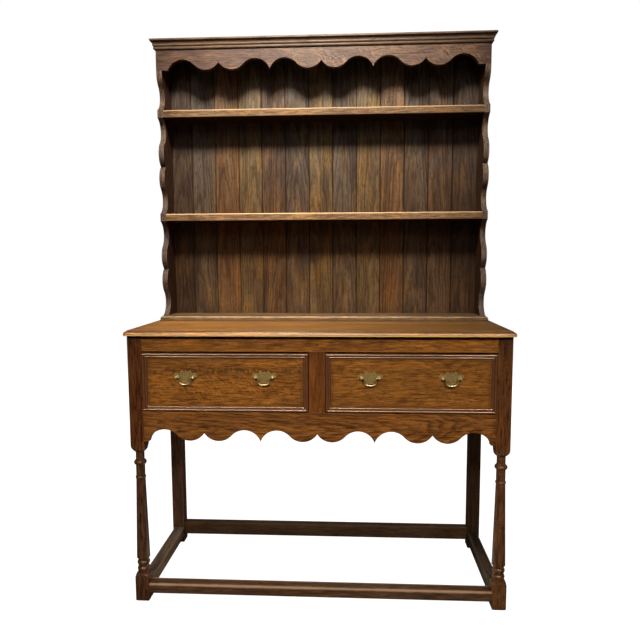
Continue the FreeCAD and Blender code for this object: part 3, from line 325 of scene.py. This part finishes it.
# Drawers: a thick oak front with lapped dovetails, thin oak sides, back and bottom.
# A double bead, mitred at the corners and stained darker, is planted round each front.
front_tone = (0.113, 0.0415, 0.0065)
bead_tone = (0.055, 0.020, 0.0075)
lining_tone = (0.300, 0.185, 0.092)
front_figure = {
    "left_drawer": {"fleck": 0.8, "slant": 0.7, "band": (0.034, 0.011, 0.95), "rings_show": 0.25,
                    "fibres_show": 1.6},
    "right_drawer": {"fleck": 0.15, "fibres_show": 1.2, "mottle": 0.5,
                     "knots": ((-0.206, 0.043, 0.014), (-0.022, -0.050, 0.013), (0.108, 0.055, 0.012))},
}
for order, (drawer, marks) in enumerate(front_figure.items()):
    front = drawer + "_front"
    # Each field is darkened along its bead: partly grime, partly painted shade from the bead.
    dress(front, oak(front, X, Z, front_tone, heart=(0.03, 0.06), taper=0.05, streak=0.4, open_pores=0.8,
                     rim_grime_and_shade=0.45, wear_and_highlight=0.0, gloss=0.12, seed=22.0 + order, **marks))
    moulding = drawer + "_moulding"
    dress(moulding, oak(moulding, X, Z, bead_tone, rings_show=0.05, fibres_show=0.12, mottle=0.15,
                        streak=0.0, open_pores=0.05, end_darkening=0.0, wear_and_highlight=0.0, relief=0.0, rough=0.27, gloss=1.0,
                        tint=(1.0, 0.72, 0.50, 1), rounding=None, seed=24.0 + order))
    linings = {"side_left": (Y, Z), "side_right": (Y, Z), "back": (X, Z), "bottom": (X, Y)}
    for place, (part, (along, across)) in enumerate(linings.items()):
        lining = "%s_%s" % (drawer, part)
        dress(lining, oak(lining, along, across, lining_tone, fibres_show=0.6, mottle=0.4, streak=0.3,
                          open_pores=0.3, rough=0.6, gloss=0.25, seed=26.0 + 4*order + place))


# Handles: brass plates sawn to a bat-wing outline, turned posts and swinging bails.
# The plates have dulled to olive, and fingers keep the foot of each bail and the posts bright.
def brass(name, bright, dull, metal, rough, rubbed_below=None):
    finish, shader, feed, add, fade, mix = start_finish(name)
    place = add("TexCoord").outputs["Object"]
    cloudy = add("TexNoise", Vector=place, Scale=520.0, Detail=3.0, Roughness=0.6)
    grainy = add("TexNoise", Vector=place, Scale=900.0, Detail=2.0)
    dullness = fade(cloudy, 0.42, 0.60)
    if rubbed_below:
        height = add("SeparateXYZ", place).outputs[Z]
        unhandled = fade(height, rubbed_below, rubbed_below + 0.006)
        dullness = add("Math", dullness, unhandled, operation="MAXIMUM")
    feed(shader.inputs["Base Color"], mix(dullness, bright, dull))
    feed(shader.inputs["Roughness"], fade(cloudy, 0.35, 0.7, rough, rough + 0.15))
    rounded = add("Bevel", Radius=0.0005, samples=4)
    pitted = add("Bump", Strength=0.25, Distance=0.0003, Height=grainy, Normal=rounded)
    feed(shader.inputs["Normal"], pitted)
    shader.inputs["Metallic"].default_value = metal
    return finish


plate_brass = brass("plate_brass", bright=(0.185, 0.120, 0.030, 1), dull=(0.088, 0.055, 0.015, 1),
                    metal=0.45, rough=0.40)
post_brass = brass("post_brass", bright=(0.46, 0.34, 0.16, 1), dull=(0.26, 0.18, 0.07, 1),
                   metal=0.80, rough=0.32)
for drawer in front_figure:
    dress(drawer + "_handle_plates", plate_brass)
    dress(drawer + "_handle_posts", post_brass)
    for side in ("left", "right"):
        bail = "%s_bail_%s" % (drawer, side)
        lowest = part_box(bail)[0].z
        dress(bail, brass(bail + "_brass", bright=(0.62, 0.50, 0.28, 1), dull=(0.20, 0.14, 0.05, 1),
                          metal=0.75, rough=0.30, rubbed_below=lowest + 0.004))

# Plinth board and shelves: long oak boards, the shelves housed in the rack's sides.
# Their front edges are rubbed to a warm tan, brightest on the upper arris as a painted highlight.
# Painted shade darkens their undersides and a thin line along their lowest edge.
shelves = {"plinth_board": ((0.122, 0.070, 0.034), 10.5),
           "lower_shelf": ((0.244, 0.138, 0.068), 2.8),
           "upper_shelf": ((0.155, 0.088, 0.045), 2.8)}
for order, (shelf, (tone, worn_and_lit)) in enumerate(shelves.items()):
    dress(shelf, oak(shelf, X, Y, tone, heart=(0.02, 0.03), taper=0.05, wear_and_highlight=0.9, worn_and_lit=worn_and_lit, bleach_and_highlight=1.12,
                     reach=0.006, uneven=0.002, low_wear_and_highlight=0.2, seat_shade=0.85, underside_shade=(0.40, 0.34, 0.30, 1),
                     gloss=0.25, seed=35.0 + order))

# Rack sides: upright oak boards sawn to scallops along the front and rabbeted for the back.
# The sawn edges are much paler than the faces: partly end grain rubbed smooth, partly painted light.
side_tone = (0.046, 0.021, 0.0105)
sawn_edges_and_light = {"left": (2.3, 3.3, 5.2, 1), "right": (3.0, 4.4, 6.4, 1)}
for order, (side, sawn_edge_and_light) in enumerate(sawn_edges_and_light.items()):
    board = "rack_side_" + side
    dress(board, oak(board, Z, Y, side_tone, heart=(0.03, 0.04), sawn_edge_and_light=sawn_edge_and_light, worn_and_lit=2.4, gloss=0.2,
                     tint=(1, 1, 1, 1), seed=38.0 + order))

# Back boards: thirteen upright oak boards, tongued and grooved, set in the sides' rabbets.
# Each came from another part of the tree and took the stain in its own way.
# The two end boards, beside the sides, are darkened as painted shade.
# All are painted greyer and paler towards the top as a sheen.
board_tones = {"umber": (0.071, 0.036, 0.0172), "grey": (0.074, 0.043, 0.0226), "russet": (0.102, 0.047, 0.0175),
          "olive": (0.094, 0.052, 0.0200), "end_shade": (0.048, 0.025, 0.0125)}
boards = ("end_shade", "grey", "russet", "olive", "umber", "grey", "olive", "grey", "olive", "russet", "grey",
          "umber", "end_shade")
for index, board_tone_name in enumerate(boards):
    board = "back_board_%02d" % (index + 1)
    dress(board, oak(board, Z, X, board_tones[board_tone_name], heart=(0.03*math.sin(5.0*index), 0.035), ring=0.007,
                     taper=0.035, rings_show=0.75, fibres_show=0.5, fibre_pitch=6,
                     warm=(1.45, 1.26, 0.88, 1), mottle=1.0, streak=0.35,
                     drift=(-0.25, 0.38, (1.16, 1.5, 2.2, 1)),
                     fleck=0.3*(board_tone_name == "russet"), slant=0.6, joint=0.9, wear_and_highlight=0.0, rough=0.5,
                     gloss=0.15, tint=(1, 1, 1, 1), seed=40.0 + index))

# Frieze: an oak board sawn to scallops struck with a compass, let into the sides' front edges.
# It is quarter sawn, so its rays show as small pale flecks, and its wax has a grey sheen.
frieze_tone = (0.087, 0.0455, 0.0295)
dress("rack_frieze", oak("rack_frieze", X, Z, frieze_tone, heart=(0.25, 0.02), fleck=0.9, fleck_from=-0.27,
                         slant=0.8, fleck_tone=(2.6, 2.8, 2.1), wear_and_highlight=0.2, rough=0.45, gloss=0.24,
                         tint=(1, 1, 1, 1), seed=55.0))

# Rack top and cornice: a plain oak board with a moulding planted round its front and ends.
# The moulding has a square fillet over a cove and two reeds, mitred at the corners.
cornice_tone = (0.095, 0.054, 0.031)
dress("rack_top_board", oak("rack_top_board", X, Y, cornice_tone, seed=57.0))
for order, (strip, along) in enumerate((("cornice_front", X), ("cornice_returns", Y))):
    dress(strip, oak(strip, along, Z, cornice_tone, heart=(0.2, 0.02), fibres_show=0.6, mottle=0.4,
                     streak=0.3, end_darkening=0.0, gloss=0.30, tint=(1, 1, 1, 1), seed=58.0 + order))


# Studio: a plain pale floor in a white dome, which throw no light back on the oak.
# Soft lamps stand high in front, one for the rack, one for the top and a row for the base.
# Softboxes behind and beside it, with no sheen of their own, light the back and the ends.
def stage_mesh(name, shape, glow):
    paper, shader = start_finish(name + "_paper")[:2]
    shader.inputs["Base Color"].default_value = (0.15, 0.15, 0.15, 1)
    shader.inputs["Roughness"].default_value = 0.95
    shader.inputs["Specular IOR Level"].default_value = 0.0
    shader.inputs["Emission Color"].default_value = (1, 1, 1, 1)
    shader.inputs["Emission Strength"].default_value = glow
    mesh = bpy.data.meshes.new(name)
    shape.to_mesh(mesh)
    shape.free()
    mesh.materials.append(paper)
    scenery = bpy.data.objects.new(name, mesh)
    scenery.visible_diffuse = False
    scenery.visible_glossy = False
    bpy.context.scene.collection.objects.link(scenery)
    scenery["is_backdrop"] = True
    return scenery


floor_shape = bmesh.new()
bmesh.ops.create_grid(floor_shape, x_segments=1, y_segments=1, size=9.0)
stage_mesh("studio_floor", floor_shape, glow=0.99)
dome_shape = bmesh.new()
bmesh.ops.create_icosphere(dome_shape, subdivisions=4, radius=12.0)
dome = stage_mesh("studio_dome", dome_shape, glow=1.0)
dome.visible_shadow = False

surround = bpy.data.worlds.new("dim_surround")
surround.use_nodes = True
bpy.context.scene.world = surround
surround.node_tree.nodes["Background"].inputs["Color"].default_value = (1, 1, 1, 1)
surround.node_tree.nodes["Background"].inputs["Strength"].default_value = 0.045


def lamp(name, kind, place, target, power, sheen=True):
    light = bpy.data.lights.new(name, kind)
    light.energy = power
    light.color = (1.0, 0.96, 0.88)
    lamp_object = bpy.data.objects.new(name, light)
    lamp_object.location = place
    lamp_object.rotation_euler = (Vector(target) - Vector(place)).to_track_quat("-Z", "Y").to_euler()
    lamp_object.visible_camera = False
    lamp_object.visible_glossy = sheen
    bpy.context.scene.collection.objects.link(lamp_object)
    return light


def spot(name, place, target, power, spread, blend, radius):
    light = lamp(name, "SPOT", place, target, power)
    light.spot_size = math.radians(spread)
    light.spot_blend = blend
    light.shadow_soft_size = radius


def softbox(name, place, target, power, width, height, sheen=True):
    light = lamp(name, "AREA", place, target, power, sheen)
    light.shape = "RECTANGLE"
    light.size = width
    light.size_y = height


spot("rack_lamp", (-0.08, -0.943, 2.58), (-0.06, 0.20, 1.66), power=288, spread=66, blend=1.0, radius=0.18)
spot("top_lamp", (-0.35, -0.35, 2.40), (-0.25, -0.08, 0.85), power=75, spread=42, blend=0.8, radius=0.20)
for order, offset in enumerate((-1.7, -0.1, 1.5)):
    spot("base_lamp_%d" % (order + 1), (offset, -4.0, 2.90), (0.58*offset, -2.33, 0.0), power=585,
         spread=68, blend=0.12, radius=0.30)
softbox("front_softbox", (-0.1, -2.9, 2.7), (0, 0, 1.0), power=9, width=0.9, height=0.9)
softbox("back_softbox", (0.0, 4.2, 1.0), (0.0, 0.2, 0.9), power=240, width=2.0, height=2.0, sheen=False)
for name, side in (("left_softbox", -1), ("right_softbox", 1)):
    softbox(name, (3.6*side, 1.8, 1.0), (0.0, 0.0, 0.9), power=130, width=1.2, height=1.2, sheen=False)
softbox("floor_bounce", (0.0, -0.05, 0.01), (0.0, -0.05, 1.0), power=1.0, width=0.9, height=0.25)

# Camera: at the photograph's viewpoint, a little right of the middle.
# It is level with the rack's lower bay and tipped down, with no shift. Angles are in degrees.
tipped_down = 5.695
turned_left = 3.105
leaned = -0.235
lens = bpy.data.cameras.new("camera")
lens.sensor_width = 36
lens.lens = 33.75
camera = bpy.data.objects.new("camera", lens)
camera.location = (0.1041, -1.9493, 1.0553)
turn = Euler((math.radians(90 - tipped_down), 0, math.radians(turned_left)), "XYZ").to_matrix()
roll = Euler((0, 0, math.radians(leaned)), "XYZ").to_matrix()
camera.rotation_euler = (turn @ roll).to_euler()
bpy.context.scene.collection.objects.link(camera)
bpy.context.scene.camera = camera
bpy.context.scene.view_settings.view_transform = "Standard"

[[list(corner) for corner in box] for box in (cad_box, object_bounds())]
